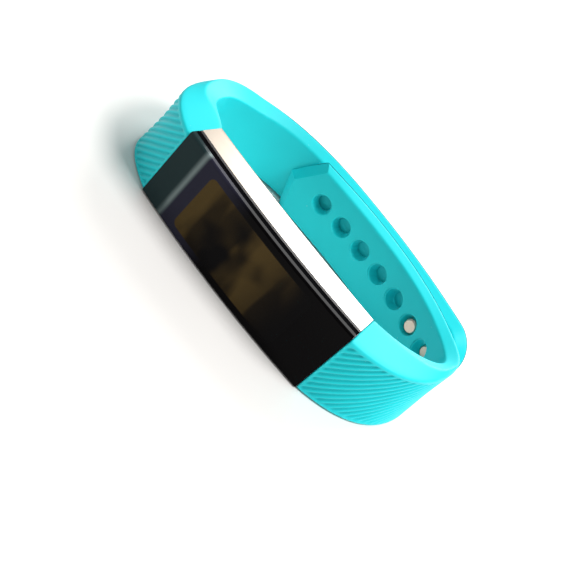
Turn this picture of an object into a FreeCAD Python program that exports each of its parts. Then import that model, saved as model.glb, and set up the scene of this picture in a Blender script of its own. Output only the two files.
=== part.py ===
import FreeCAD, Part
import math
import os

from FreeCAD import Vector

os.makedirs("parts", exist_ok=True)

# A fitness tracker closed round a wrist-sized loop and standing on its long edge.
# X runs along the tracker, the display faces -Y, and Z is the axis of the wrist.
# While the pieces are made, y = 0 is the front corner of the tracker's glass and z = 0 the
# edge that it stands on. At the end everything moves so that the origin is under the middle.

# ---- Tracker, mm ----
TRACKER_LENGTH = 43.3
TRACKER_WIDTH = 15.5
TRACKER_DEPTH = 8.66
FRONT_BOW = 1.3            # the front swells forward by this much at mid length
BACK_BOW = 0.7             # and the back follows it, to suit the wrist
BOW_OVERRUN = 1.0          # the bowed faces are drawn this far past the ends, then trimmed
END_SLOPE = 0.67           # each end leans in by this much from front to back
GLASS_THICKNESS = 1.2
GLASS_EDGE_RADIUS = 0.45
BEZEL_DEPTH = 2.4          # from the front face to the back of the black frame
BEZEL_STEP = 0.3           # the last part of the frame is set back to leave a dark line
LINE_INSET = 0.15
TRIM_RING_THICKNESS = 0.35
GASKET_THICKNESS = 0.33
SHELL_WALL = 0.9
SHELL_FLOOR = 1.0
SHELL_EDGE_RADIUS = 0.5
CAVITY_HALF_LENGTH = 17.2
BEZEL_WALL = 1.0

# ---- Inside the tracker ----
PANEL_LENGTH = 26.8
PANEL_HEIGHT = 12.4
PANEL_THICKNESS = 1.0
PANEL_FRONT = 0.48
CHASSIS_FRONT = 1.65
CHASSIS_PLATE = 0.45
CHASSIS_CLEARANCE = 0.1
BOARD_THICKNESS = 0.8
BOARD_LENGTH = 31.6
BOARD_HEIGHT = 12.6
CHIP_THICKNESS = 0.75
BATTERY_LENGTH = 20.0
BATTERY_HEIGHT = 11.0
BATTERY_CLEARANCE = 0.51     # left between the battery and the shell's floor
BATTERY_LEFT = -15.6
BATTERY_EDGE_RADIUS = 0.5
POST_THICKNESS = 0.8       # the chassis stands on the shell's floor on a post at each end
CHIPS = {                  # place along the board and the side of each square chip
    "processor_chip": (-6.0, 4.0),
    "radio_chip": (-11.5, 3.0),
    "motion_sensor": (0.5, 2.5),
}
MOTOR_X = 9.6
MOTOR_CLEARANCE = 0.46       # left between the motor and the shell's floor
MOTOR_LENGTH = 6.2
MOTOR_SHAFT_RADIUS = 0.35
MOTOR_SHAFT_FIT = 0.03
MOTOR_SHAFT_HELD = 1.5     # the length of shaft inside the can
MOTOR_SHAFT_GAP = 0.1      # left free at the shaft's inner end
MOTOR_SHAFT_PROUD = 0.2    # past the weight
WEIGHT_SET_IN = 0.15         # the weight turns inside the can's outline by this much
WEIGHT_CUT = 0.4           # the half-round weight's flat lies this far behind the axis
WEIGHT_LENGTH = 2.8
WEIGHT_GAP = 0.5
CONTACT_X = 14.9
CONTACT_SPACING = 2.9
CONTACT_RADIUS = 0.55
CONTACT_BLOCK_LENGTH = 2.4
CONTACT_BOSS_LENGTH = 1.7
CONTACT_BOSS_MARGIN = 0.6  # plastic beyond the outer pins
CONTACT_BOSS_SUNK = 0.02   # the boss ends this far below the shell's back
CONTACT_PROUD = 0.05
RIBBON_THICKNESS = 0.12
RIBBON_WIDTH = 4.0
RIBBON_REACH = 1.2         # past the end of the panel before it turns down
RIBBON_LIFT = 0.3          # it leaves the panel this far in front of the panel's back
RIBBON_SLOT_MARGIN = 0.3
ANTENNA_THICKNESS = 0.12
ANTENNA_X = -15.4
ANTENNA_LENGTH = 2.6
ANTENNA_HEIGHT = 11.0

# ---- Straps ----
END_GAP = 0.12             # the dark line between a strap and the tracker
STRAP_FRONT_SET = 0.3      # the strap starts this far behind the glass corner
LOOP_RIGHT = 33.9          # how far the inside of the loop reaches to the right
LOOP_LEFT = 27.95
LOOP_BACK = 33.56          # depth from the glass corner to the inside of the back
LOOP_BACK_X = 5.0          # where the back of the loop is deepest
RIGHT_SIDE_AHEAD = 13.06   # the right side stands straight this far in front of the back
RIGHT_TURN_IN = 5.52       # the turn into the back: how far in from the side
RIGHT_TURN_AHEAD = 5.57    # and how far in front of the back
LEFT_SIDE_AHEAD = 16.32
LEFT_OUTSIDE_AHEAD = 20.88
LEFT_TURN_IN = 5.13
LEFT_TURN_AHEAD = 7.19
LEFT_OUTER_TURN_IN = 2.31
LEFT_OUTER_TURN_AHEAD = 6.09
RIGHT_SIDE_THICKNESS = 2.6
LEFT_SIDE_THICKNESS = 4.06
HOLE_STRAP_THICKNESS = 2.4
HOLE_STRAP_TIP_THICKNESS = 1.6
CLASP_STRAP_THICKNESS = 2.62
STRAP_GAP = 0.15           # between the two straps where they lie one on the other
TAIL_REACH = 18.4          # how far the hole strap runs on past the deepest point
TAIL_DROP = 1.2
TIP_BELOW_MIDDLE = 0.7     # the point of the tail, which is cut to a blunt V
TIP_UPPER_ANGLE = 59.0     # between each cut and the strap's length
TIP_LOWER_ANGLE = 70.0
TIP_FACET = 1.8            # the cuts slope in by this much at the inside face
CLASP_END_RADIUS = 98.0    # the clasp strap runs nearly straight to its end
CLASP_END_LENGTH = 31.7
SIDE_HALF_WIDTH = 7.7      # at the ridge along each edge of the strap
BACK_HALF_WIDTH = 6.45
INNER_FLAT_NEAR = 7.6      # half width of the flat inside face, near the tracker
INNER_FLAT_FAR = 5.6
CLASP_FLAT_FAR = 5.0
OUTER_FLAT_NEAR = 6.65     # the ribbed outside reaches this far above the middle
OUTER_FLAT_LOWER = 7.6     # and this far below it, as far as the first bend
OUTER_FLAT_FAR = 5.95
LOWER_FLAT_FAR = 7.3        # below the middle both faces stay this wide; only the upper edge tapers
HOLE_STRAP_NARROWS = (4, 5)  # the part of the chain over which the lower edge tapers too
CLASP_STRAP_NARROWS = (3.1, 3.7)
RIDGE_NEAR = 0.94          # where the ridge lies, as a share of the way to the inside face
RIDGE_FAR = 0.12
SECTION_SPACING = 2.4      # between the sections that a strap is lofted through
DRILL_LENGTH = 12.0         # longer than any strap is thick
FLEX_GAP = 0.1             # seam between the two rigid halves that stand for a bending strap

# ---- Holes, pegs and clasp plate ----
HOLE_COUNT = 8
HOLE_PITCH = 5.84
HOLE_RADIUS = 2.03
FIRST_HOLE = 9.3           # from the tip
PEGGED_HOLE = 6            # counted from the tip; the second peg is in the next hole
PEG_RADIUS = 1.28
PEG_HEAD_RADIUS = 1.47     # each peg ends in a slight head that snaps through the hole
PEG_HEAD_LENGTH = 0.8
PEG_TIP_CHAMFER = 0.3
PEG_RECESS = 0.2           # the peg's end lies this far below the strap's inside face
PEG_BORE_FIT = 0.04
PLATE_LENGTH = 9.8
PLATE_HEIGHT = 7.8
PLATE_THICKNESS = 0.8
PLATE_RECESS = 0.5
PLATE_FIT = 0.06
PLATE_CORNER = 1.6
PLATE_LEAD = 1.5           # the plate's seat is found this far beyond the pegged holes
TAIL_HINGE_HOLES = 4.5     # the tail bends between the fourth and the fifth hole
CLASP_HINGE_X = 3.0        # where the end of the clasp strap bends when it is pulled off

# ---- Strap connectors and their latches ----
TONGUE_DEPTH = 2.9         # how far the connector plugs into the tracker
TONGUE_HEIGHT = 9.0        # along Z
TONGUE_THICKNESS = 2.2
TONGUE_FRONT = 4.6
TONGUE_MARGIN = 1.0        # the buried part is this much taller than the tongue at each edge
SOCKET_FIT = 0.08
SOCKET_FLOOR_GAP = 0.15
BURIED_START = 0.4         # strap left between the tracker's end and the buried part
BURIED_LENGTH = 3.6        # how far the connector is buried in the strap
BURIED_SKIN = 0.35         # strap left over the buried part
BUTTON_LENGTH = 2.6        # along the strap
BUTTON_HEIGHT = 6.0        # along Z
BUTTON_TRAVEL = 0.6
BUTTON_FIT = 0.07
BUTTON_SUNK = 0.15         # the button's sloping face lies this far below the strap's
WELL_WALL = 0.4            # metal left round the button's well
WELL_DEPTH = 1.0           # how far the well goes into the tongue's thickness
LATCH_TOOTH_DEPTH = 0.5    # how far the tooth stands into the pocket in the socket
LATCH_TOOTH_LENGTH = 0.9
LATCH_TOOTH_HEIGHT = 4.0
LATCH_TIP = 0.4            # from the end of the tongue to the tooth
SPRING_THICKNESS = 0.15
SPRING_HEIGHT = 3.0

MID_Z = TRACKER_WIDTH / 2
HALF_LENGTH = TRACKER_LENGTH / 2
parts = {}


# ---- Small helpers ----
def box(x0, x1, y0, y1, z0, z1):
    return Part.makeBox(x1 - x0, y1 - y0, z1 - z0, Vector(x0, y0, z0))


def centred_box(x_mid, y0, y1, length, height):
    return box(x_mid - length / 2, x_mid + length / 2, y0, y1, MID_Z - height / 2, MID_Z + height / 2)


def rod_z(x, y, z0, z1, radius):
    return Part.makeCylinder(radius, z1 - z0, Vector(x, y, z0), Vector(0, 0, 1))


def ease(value):
    value = min(max(value, 0.0), 1.0)
    return value * value * (3 - 2 * value)


def graded(position, stops):
    """A value that eases from one named stop to the next."""
    for (start, low), (finish, high) in zip(stops, stops[1:]):
        if position <= finish:
            return low + (high - low) * ease((position - start) / (finish - start))
    return stops[-1][1]


# ---- Tracker layers ----
def end_x(depth):
    return HALF_LENGTH - END_SLOPE * depth / TRACKER_DEPTH


def bow_line(depth, bow, half):
    """An arc across the tracker that swells forward by the bow between the two corners."""
    radius = (half * half + bow * bow) / (2 * bow)
    reach = half + BOW_OVERRUN
    corner = depth - bow + radius - math.sqrt(radius * radius - reach * reach)
    middle = Vector(0, depth - bow, 0)
    return Part.Arc(Vector(-reach, corner, 0), middle, Vector(reach, corner, 0)).toShape()


def layer(front, back, inset=0.0, back_bow=FRONT_BOW):
    """A slab of the tracker between two depths, bowed like the front face."""
    front_line = bow_line(front, FRONT_BOW, HALF_LENGTH)
    back_half = HALF_LENGTH if back_bow == FRONT_BOW else end_x(back)
    back_line = bow_line(back, back_bow, back_half)
    sides = []
    for index in (0, -1):
        sides.append(Part.makeLine(front_line.Vertexes[index].Point, back_line.Vertexes[index].Point))
    outline = Part.Wire(Part.__sortEdges__([front_line, back_line] + sides))
    slab = Part.Face(outline).extrude(Vector(0, 0, TRACKER_WIDTH))
    return slab.common(envelope(inset))


def envelope(inset):
    """The tracker's plan between its two leaning ends, drawn in by the inset all round."""
    low, high = -5, TRACKER_DEPTH + 5
    x_low, x_high = end_x(low) - inset, end_x(high) - inset
    corners = [(-x_low, low), (x_low, low), (x_high, high), (-x_high, high), (-x_low, low)]
    outline = Part.makePolygon([Vector(x, y, inset) for x, y in corners])
    return Part.Face(outline).extrude(Vector(0, 0, TRACKER_WIDTH - 2 * inset))


def cavity(wall):
    return box(-CAVITY_HALF_LENGTH, CAVITY_HALF_LENGTH, -5, TRACKER_DEPTH - BACK_BOW - SHELL_FLOOR,
               wall, TRACKER_WIDTH - wall)


def long_edges(shape, depth_low, depth_high, z_values):
    """Edges that run along the tracker at the given heights and between two depths."""
    found = []
    for edge in shape.Edges:
        middle = edge.BoundBox
        if middle.XLength < TRACKER_LENGTH / 2:
            continue
        if not depth_low <= middle.YMax <= depth_high:
            continue
        if any(abs(middle.ZMin - z) < 0.01 and abs(middle.ZMax - z) < 0.01 for z in z_values):
            found.append(edge)
    return found


def add_tracker_case():
    glass = layer(0, GLASS_THICKNESS)
    edges = long_edges(glass, -0.1, 0.1, (0, TRACKER_WIDTH))
    parts["front_glass"] = glass.makeFillet(GLASS_EDGE_RADIUS, edges)

    rim_back = BEZEL_DEPTH - BEZEL_STEP
    bezel = layer(GLASS_THICKNESS, rim_back).fuse(layer(rim_back, BEZEL_DEPTH, LINE_INSET)).removeSplitter()
    parts["front_bezel"] = bezel.cut(cavity(BEZEL_WALL))

    trim_back = BEZEL_DEPTH + TRIM_RING_THICKNESS
    parts["trim_ring"] = layer(BEZEL_DEPTH, trim_back).cut(cavity(BEZEL_WALL))

    shell_front = trim_back + GASKET_THICKNESS
    parts["case_gasket"] = layer(trim_back, shell_front, LINE_INSET).cut(cavity(BEZEL_WALL))

    shell = layer(shell_front, TRACKER_DEPTH, back_bow=BACK_BOW)
    edges = long_edges(shell, TRACKER_DEPTH - 0.1, TRACKER_DEPTH + 0.1, (0, TRACKER_WIDTH))
    shell = shell.makeFillet(SHELL_EDGE_RADIUS, edges).cut(cavity(SHELL_WALL))
    for side in (-1, 1):
        shell = shell.cut(socket(side))
        shell = shell.cut(tooth_pocket(side))
    shell = shell.cut(contact_window())
    parts["case_shell"] = shell


def mirrored_box(side, x0, x1, y0, y1, height):
    low, high = sorted((side * x0, side * x1))
    return box(low, high, y0, y1, MID_Z - height / 2, MID_Z + height / 2)


def junction_x():
    """Where the tracker's end face stands, at the middle of the tongue."""
    return end_x(TONGUE_FRONT + TONGUE_THICKNESS / 2)


def socket(side):
    bottom = junction_x() - TONGUE_DEPTH - SOCKET_FLOOR_GAP
    return mirrored_box(side, bottom, HALF_LENGTH + 1, TONGUE_FRONT - SOCKET_FIT,
                        TONGUE_FRONT + TONGUE_THICKNESS + SOCKET_FIT, TONGUE_HEIGHT + 2 * SOCKET_FIT)


def tooth_pocket(side):
    tip = junction_x() - TONGUE_DEPTH + LATCH_TIP
    back = TONGUE_FRONT + TONGUE_THICKNESS
    return mirrored_box(side, tip - SOCKET_FIT, tip + LATCH_TOOTH_LENGTH + SOCKET_FIT,
                        back - SOCKET_FIT, back + LATCH_TOOTH_DEPTH + SOCKET_FIT,
                        LATCH_TOOTH_HEIGHT + 2 * SOCKET_FIT)


# ---- Tracker insides ----
def contact_window():
    height = 2 * (CONTACT_SPACING + CONTACT_RADIUS + CONTACT_BOSS_MARGIN)
    inside = TRACKER_DEPTH - BACK_BOW - 1.5 * SHELL_FLOOR
    return centred_box(CONTACT_X, inside, TRACKER_DEPTH + 1, CONTACT_BOSS_LENGTH, height)


def back_surface_y(x):
    """Depth of the curved back face at a place along the tracker."""
    half = end_x(TRACKER_DEPTH)
    radius = (half * half + BACK_BOW * BACK_BOW) / (2 * BACK_BOW)
    return TRACKER_DEPTH - BACK_BOW + radius - math.sqrt(radius * radius - x * x)


def add_inside():
    panel = centred_box(0, PANEL_FRONT, PANEL_FRONT + PANEL_THICKNESS, PANEL_LENGTH, PANEL_HEIGHT)
    parts["display_panel"] = panel

    chassis_back = CHASSIS_FRONT + CHASSIS_PLATE
    cavity_back = TRACKER_DEPTH - BACK_BOW - SHELL_FLOOR
    chassis_length = 2 * (CAVITY_HALF_LENGTH - CHASSIS_CLEARANCE)
    chassis_height = TRACKER_WIDTH - 2 * (BEZEL_WALL + CHASSIS_CLEARANCE)
    chassis = centred_box(0, CHASSIS_FRONT, chassis_back, chassis_length, chassis_height)
    for side in (-1, 1):
        post = mirrored_box(side, chassis_length / 2 - POST_THICKNESS, chassis_length / 2, chassis_back,
                            cavity_back - CHASSIS_CLEARANCE, chassis_height)
        chassis = chassis.fuse(post)
    ribbon_x = PANEL_LENGTH / 2 + RIBBON_REACH
    slot = centred_box(ribbon_x, CHASSIS_FRONT - 1, chassis_back + 1, 2 * RIBBON_SLOT_MARGIN,
                       RIBBON_WIDTH + 2 * RIBBON_SLOT_MARGIN)
    parts["inner_chassis"] = chassis.cut(slot).removeSplitter()

    board_back = chassis_back + BOARD_THICKNESS
    parts["main_board"] = centred_box(0, chassis_back, board_back, BOARD_LENGTH, BOARD_HEIGHT)
    for name, (x, side) in CHIPS.items():
        parts[name] = centred_box(x, board_back, board_back + CHIP_THICKNESS, side, side)

    ribbon_front = PANEL_FRONT + PANEL_THICKNESS - RIBBON_LIFT
    across = centred_box((PANEL_LENGTH / 2 + ribbon_x) / 2, ribbon_front, ribbon_front + RIBBON_THICKNESS,
                         RIBBON_REACH, RIBBON_WIDTH)
    down = centred_box(ribbon_x - RIBBON_THICKNESS / 2, ribbon_front, chassis_back,
                       RIBBON_THICKNESS, RIBBON_WIDTH)
    parts["display_ribbon"] = across.fuse(down).removeSplitter()

    battery_front = board_back + CHIP_THICKNESS + CHASSIS_CLEARANCE
    battery = centred_box(BATTERY_LEFT + BATTERY_LENGTH / 2, battery_front,
                          cavity_back - BATTERY_CLEARANCE, BATTERY_LENGTH, BATTERY_HEIGHT)
    edges = [e for e in battery.Edges if e.BoundBox.YLength < 0.01]
    parts["battery"] = battery.makeFillet(BATTERY_EDGE_RADIUS, edges)

    parts["radio_antenna"] = centred_box(ANTENNA_X, CHASSIS_FRONT - ANTENNA_THICKNESS, CHASSIS_FRONT,
                                         ANTENNA_LENGTH, ANTENNA_HEIGHT)
    add_motor(board_back + CHASSIS_CLEARANCE, cavity_back - MOTOR_CLEARANCE)
    add_contacts(board_back, cavity_back)


def add_motor(front, back):
    radius = (back - front) / 2
    weight_radius = radius - WEIGHT_SET_IN
    axis_y = front + radius
    low = MID_Z - (MOTOR_LENGTH + WEIGHT_GAP + WEIGHT_LENGTH) / 2
    can_top = low + MOTOR_LENGTH
    can = rod_z(MOTOR_X, axis_y, low, can_top, radius)
    shaft_low = can_top - MOTOR_SHAFT_HELD
    can_bore = rod_z(MOTOR_X, axis_y, shaft_low, can_top + 1, MOTOR_SHAFT_RADIUS + MOTOR_SHAFT_FIT)
    parts["motor_can"] = can.cut(can_bore)

    weight_low = can_top + WEIGHT_GAP
    weight_top = weight_low + WEIGHT_LENGTH
    parts["motor_shaft"] = rod_z(MOTOR_X, axis_y, shaft_low + MOTOR_SHAFT_GAP,
                                 weight_top + MOTOR_SHAFT_PROUD, MOTOR_SHAFT_RADIUS)
    weight = rod_z(MOTOR_X, axis_y, weight_low, weight_top, weight_radius)
    beyond = 2 * weight_radius
    half = box(MOTOR_X - beyond, MOTOR_X + beyond, axis_y + WEIGHT_CUT, axis_y + beyond,
               weight_low - 1, weight_top + 1)
    weight_bore = rod_z(MOTOR_X, axis_y, weight_low - 1, weight_top + 1, MOTOR_SHAFT_RADIUS)
    parts["motor_weight"] = weight.cut(half).cut(weight_bore)
    print("motor axis", MOTOR_X, axis_y, weight_low)


def add_contacts(board_back, cavity_back):
    window = contact_window().BoundBox
    back = back_surface_y(CONTACT_X - CONTACT_BOSS_LENGTH / 2) - CONTACT_BOSS_SUNK
    block = box(CONTACT_X - CONTACT_BLOCK_LENGTH / 2, CONTACT_X + CONTACT_BLOCK_LENGTH / 2,
                board_back, cavity_back, window.ZMin - CONTACT_BOSS_MARGIN,
                window.ZMax + CONTACT_BOSS_MARGIN)
    boss = box(window.XMin, window.XMax, cavity_back, back, window.ZMin, window.ZMax)
    block = block.fuse(boss).removeSplitter()
    pins = []
    for step in (-1, 0, 1):
        z = MID_Z + step * CONTACT_SPACING
        length = back + CONTACT_PROUD - board_back
        pin = Part.makeCylinder(CONTACT_RADIUS, length, Vector(CONTACT_X, board_back, z), Vector(0, 1, 0))
        pins.append(pin)
        block = block.cut(pin)
    parts["contact_block"] = block
    parts["charging_contacts"] = Part.makeCompound(pins)
    print("contact face", CONTACT_X, back + CONTACT_PROUD, MID_Z)


# ---- Strap outlines ----
# An anchor is a point in plan, the heading there in degrees, and how strongly the
# curve holds that heading before and after the point.
def anchor(x, y, heading, before, after):
    return (x, y, math.radians(heading), before, after)


def offset(base, side, distance, before, after):
    """An anchor beside another one, on its outer side, with the same heading."""
    x, y, heading = base[:3]
    return (x + side * distance * math.sin(heading), y - side * distance * math.cos(heading),
            heading, before, after)


def on_chain(chain, place):
    """The point at a place along a chain: 1.5 is half way from the second anchor to the third."""
    index = min(int(place), len(chain) - 2)
    t = place - index
    x0, y0, h0, _, pull0 = chain[index]
    x3, y3, h3, pull3, _ = chain[index + 1]
    x1, y1 = x0 + pull0 * math.cos(h0), y0 + pull0 * math.sin(h0)
    x2, y2 = x3 - pull3 * math.cos(h3), y3 - pull3 * math.sin(h3)
    weights = ((1 - t) ** 3, 3 * (1 - t) ** 2 * t, 3 * (1 - t) * t * t, t ** 3)
    x = sum(w * v for w, v in zip(weights, (x0, x1, x2, x3)))
    y = sum(w * v for w, v in zip(weights, (y0, y1, y2, y3)))
    return Vector(x, y, 0)


def place_after(chain, start, distance, step=-0.002):
    """The place reached by walking a distance along a chain, backwards by default."""
    place = start
    here = on_chain(chain, place)
    walked = 0.0
    while walked < distance:
        place += step
        there = on_chain(chain, place)
        walked += (there - here).Length
        here = there
    return place


def place_at_x(chain, x, low, high):
    """The place between two others where a chain crosses an x, by halving."""
    rising = on_chain(chain, high).x > on_chain(chain, low).x
    for _ in range(40):
        middle = (low + high) / 2
        if (on_chain(chain, middle).x < x) == rising:
            low = middle
        else:
            high = middle
    return (low + high) / 2


def end_corner(side, outer):
    if outer:
        return side * (HALF_LENGTH + END_GAP), STRAP_FRONT_SET
    return side * (end_x(TRACKER_DEPTH) + END_GAP), TRACKER_DEPTH


def hole_strap_chains():
    x_in, y_in = end_corner(1, False)
    x_out, y_out = end_corner(1, True)
    inner = [
        anchor(x_in, y_in, 14.8, 0, 6.9),
        anchor(LOOP_RIGHT, LOOP_BACK - RIGHT_SIDE_AHEAD, 90, 4.2, 2.1),
        anchor(LOOP_RIGHT - RIGHT_TURN_IN, LOOP_BACK - RIGHT_TURN_AHEAD, 145.8, 4.7, 8.5),
        anchor(LOOP_BACK_X, LOOP_BACK, 180, 7.8, 7.0),
        anchor(LOOP_BACK_X - TAIL_REACH, LOOP_BACK - TAIL_DROP, 184, 6.0, 0),
    ]
    outer = [
        anchor(x_out, y_out, 18, 0, 10.0),
        offset(inner[1], 1, RIGHT_SIDE_THICKNESS, 10.0, 3.6),
        offset(inner[2], 1, HOLE_STRAP_THICKNESS, 5.6, 9.2),
        offset(inner[3], 1, HOLE_STRAP_THICKNESS, 8.4, 7.2),
        offset(inner[4], 1, HOLE_STRAP_TIP_THICKNESS, 6.0, 0),
    ]
    return inner, outer


def clasp_strap_chains():
    x_in, y_in = end_corner(-1, False)
    x_out, y_out = end_corner(-1, True)
    back_in = LOOP_BACK + HOLE_STRAP_THICKNESS + STRAP_GAP
    turn = CLASP_END_LENGTH / CLASP_END_RADIUS
    x_end = LOOP_BACK_X + CLASP_END_RADIUS * math.sin(turn)
    y_end = back_in - CLASP_END_RADIUS * (1 - math.cos(turn))
    third = CLASP_END_LENGTH / 3
    inner = [
        anchor(x_in, y_in, 137.6, 0, 6.0),
        anchor(-LOOP_LEFT, back_in - LEFT_SIDE_AHEAD, 90, 7.5, 3.9),
        anchor(-LOOP_LEFT + LEFT_TURN_IN, back_in - LEFT_TURN_AHEAD, 46.5, 2.4, 9.2),
        anchor(LOOP_BACK_X, back_in, 0, 11.7, third),
        anchor(x_end, y_end, -math.degrees(turn), third, 0),
    ]
    outer = [
        anchor(x_out, y_out, 155.9, 0, 7.7),
        anchor(-LOOP_LEFT - LEFT_SIDE_THICKNESS, back_in - LEFT_OUTSIDE_AHEAD, 90, 7.9, 8.1),
        anchor(-LOOP_LEFT + LEFT_OUTER_TURN_IN, back_in - LEFT_OUTER_TURN_AHEAD, 40.5, 6.4, 12.7),
        offset(inner[3], -1, CLASP_STRAP_THICKNESS, 10.8, third),
        offset(inner[4], -1, CLASP_STRAP_THICKNESS, third, 0),
    ]
    return inner, outer


def heading_at(chain, place):
    low = max(place - 0.01, 0)
    high = min(place + 0.01, len(chain) - 1)
    return (on_chain(chain, high) - on_chain(chain, low)).normalize()


# ---- Strap solids ----
def section(inner_chain, outer_chain, place, inner_far, narrows, shift=0.0):
    """A six-sided section: outer flat, ridge and inner flat, above and below the middle."""
    inside = on_chain(inner_chain, place)
    outside = on_chain(outer_chain, place)
    ridge_depth = graded(place, [(0.1, RIDGE_NEAR), (1.3, RIDGE_FAR)])
    ridge = outside + (inside - outside) * ridge_depth
    along = heading_at(inner_chain, place) * shift
    first, last = narrows
    upper = [(outside, graded(place, [(1.2, OUTER_FLAT_NEAR), (2.5, OUTER_FLAT_FAR)])),
             (ridge, graded(place, [(1, SIDE_HALF_WIDTH), (2.5, BACK_HALF_WIDTH)])),
             (inside, graded(place, [(0, INNER_FLAT_NEAR), (2, inner_far)]))]
    lower = [(inside, graded(place, [(0, INNER_FLAT_NEAR), (2, LOWER_FLAT_FAR),
                                     (first, LOWER_FLAT_FAR), (last, inner_far)])),
             (ridge, graded(place, [(first, SIDE_HALF_WIDTH), (last, BACK_HALF_WIDTH)])),
             (outside, graded(place, [(1.2, OUTER_FLAT_LOWER), (2.5, LOWER_FLAT_FAR),
                                      (first, LOWER_FLAT_FAR), (last, OUTER_FLAT_FAR)]))]
    upper = [Vector(p.x, p.y, MID_Z + w) + along for p, w in upper]
    lower = [Vector(p.x, p.y, MID_Z - w) + along for p, w in lower]
    ring = upper + lower
    return Part.makePolygon(ring + ring[:1])


def even_places(chain, start, finish):
    """Places a near-even distance apart along a chain, both ends included."""
    steps = 400
    travelled = [0.0]
    points = [on_chain(chain, start + (finish - start) * i / steps) for i in range(steps + 1)]
    for here, there in zip(points, points[1:]):
        travelled.append(travelled[-1] + (there - here).Length)
    count = math.ceil(travelled[-1] / SECTION_SPACING)
    places = []
    for index in range(count + 1):
        wanted = travelled[-1] * index / count
        nearest = min(range(steps + 1), key=lambda i: abs(travelled[i] - wanted))
        places.append(start + (finish - start) * nearest / steps)
    return places


def strap_solid(chains, start, finish, inner_far, narrows, start_shift=0.0, finish_shift=0.0):
    inner_chain, outer_chain = chains
    places = even_places(inner_chain, start, finish)
    shifts = [start_shift] + [0.0] * (len(places) - 2) + [finish_shift]
    wires = []
    for place, shift in zip(places, shifts):
        wires.append(section(inner_chain, outer_chain, place, inner_far, narrows, shift))
    return Part.makeLoft(wires, True, False)


def frame_at(chains, place):
    """The middle of a strap's thickness, its heading and the direction to its outside."""
    inside = on_chain(chains[0], place)
    outside = on_chain(chains[1], place)
    outward = (outside - inside).normalize()
    return inside, outside, outward


def rounded_end(chains, half_width, reach):
    """A block with a half-round nose, which trims the last stretch of a strap."""
    last = len(chains[0]) - 1
    inside, outside, outward = frame_at(chains, last)
    along = inside - on_chain(chains[0], last - 0.05)
    along = (along - outward * along.dot(outward)).normalize()
    centre = Vector(inside.x, inside.y, MID_Z) - along * half_width - outward * DRILL_LENGTH / 2
    nose = Part.makeCylinder(half_width, DRILL_LENGTH, centre, outward)
    up = Vector(0, 0, half_width)
    start = centre - along * reach
    corners = [centre + up, centre - up, start - up, start + up, centre + up]
    block = Part.Face(Part.makePolygon(corners)).extrude(outward * DRILL_LENGTH)
    return block.fuse(nose)


def blunt_point(chains, tail):
    """Cuts the tail to a V whose two faces slope in towards the inside of the strap."""
    last = len(chains[0]) - 1
    inside, outside, outward = frame_at(chains, last)
    forward = Vector(-outward.y, outward.x, 0)
    if forward.dot(heading_at(chains[0], last)) < 0:
        forward = -forward
    point = Vector(outside.x, outside.y, MID_Z - TIP_BELOW_MIDDLE)
    lean = math.atan2(TIP_FACET, HOLE_STRAP_TIP_THICKNESS)
    reach = 2 * TRACKER_WIDTH
    for way, angle in ((1, TIP_UPPER_ANGLE), (-1, TIP_LOWER_ANGLE)):
        turn = math.radians(angle)
        edge = Vector(0, 0, way) * math.sin(turn) - forward * math.cos(turn)
        away = forward * math.sin(turn) + Vector(0, 0, way) * math.cos(turn)
        slope = away * math.sin(lean) + outward * math.cos(lean)
        normal = away * math.cos(lean) - outward * math.sin(lean)
        corners = []
        for a, b in ((-1, -1), (1, -1), (1, 1), (-1, 1), (-1, -1)):
            corners.append(point + edge * a * reach + slope * b * reach)
        tail = tail.cut(Part.Face(Part.makePolygon(corners)).extrude(normal * reach))
    return tail


def hole_places(chains):
    """Places of the holes along the strap, from the tip towards the tracker."""
    last = len(chains[0]) - 1
    places = [place_after(chains[0], last, FIRST_HOLE)]
    while len(places) < HOLE_COUNT:
        places.append(place_after(chains[0], places[-1], HOLE_PITCH))
    return places


def add_hole_strap():
    chains = hole_strap_chains()
    places = hole_places(chains)
    whole, part = divmod(TAIL_HINGE_HOLES, 1)
    first, second = places[int(whole) - 1], places[int(whole)]
    hinge = first + (second - first) * part
    root = strap_solid(chains, 0, hinge, INNER_FLAT_FAR, HOLE_STRAP_NARROWS, finish_shift=-FLEX_GAP / 2)
    last = len(chains[0]) - 1
    tail = strap_solid(chains, hinge, last, INNER_FLAT_FAR, HOLE_STRAP_NARROWS, start_shift=FLEX_GAP / 2)
    tail = blunt_point(chains, tail)
    drills = []
    for place in places:
        inside, outside, outward = frame_at(chains, place)
        start = Vector(inside.x, inside.y, MID_Z) - outward * DRILL_LENGTH / 4
        drills.append(Part.makeCylinder(HOLE_RADIUS, DRILL_LENGTH, start, outward))
    parts["hole_strap_root"] = root.cut(drills[int(whole):])
    parts["hole_strap_tail"] = tail.cut(drills[:int(whole)])
    pivot = on_chain(chains[0], hinge)
    print("tail pivot", pivot.x, pivot.y)
    return chains, places


def add_clasp_strap():
    chains = clasp_strap_chains()
    last = len(chains[0]) - 1
    hinge = place_at_x(chains[1], CLASP_HINGE_X, 2, last)
    root = strap_solid(chains, 0, hinge, CLASP_FLAT_FAR, CLASP_STRAP_NARROWS, finish_shift=-FLEX_GAP / 2)
    end = strap_solid(chains, hinge, last, CLASP_FLAT_FAR, CLASP_STRAP_NARROWS, start_shift=FLEX_GAP / 2)
    end = end.common(rounded_end(chains, BACK_HALF_WIDTH, CLASP_END_LENGTH * 2))
    parts["clasp_strap_root"] = root
    parts["clasp_strap_end"] = end
    pivot = on_chain(chains[1], hinge)
    print("clasp pivot", pivot.x, pivot.y)
    return chains


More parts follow.
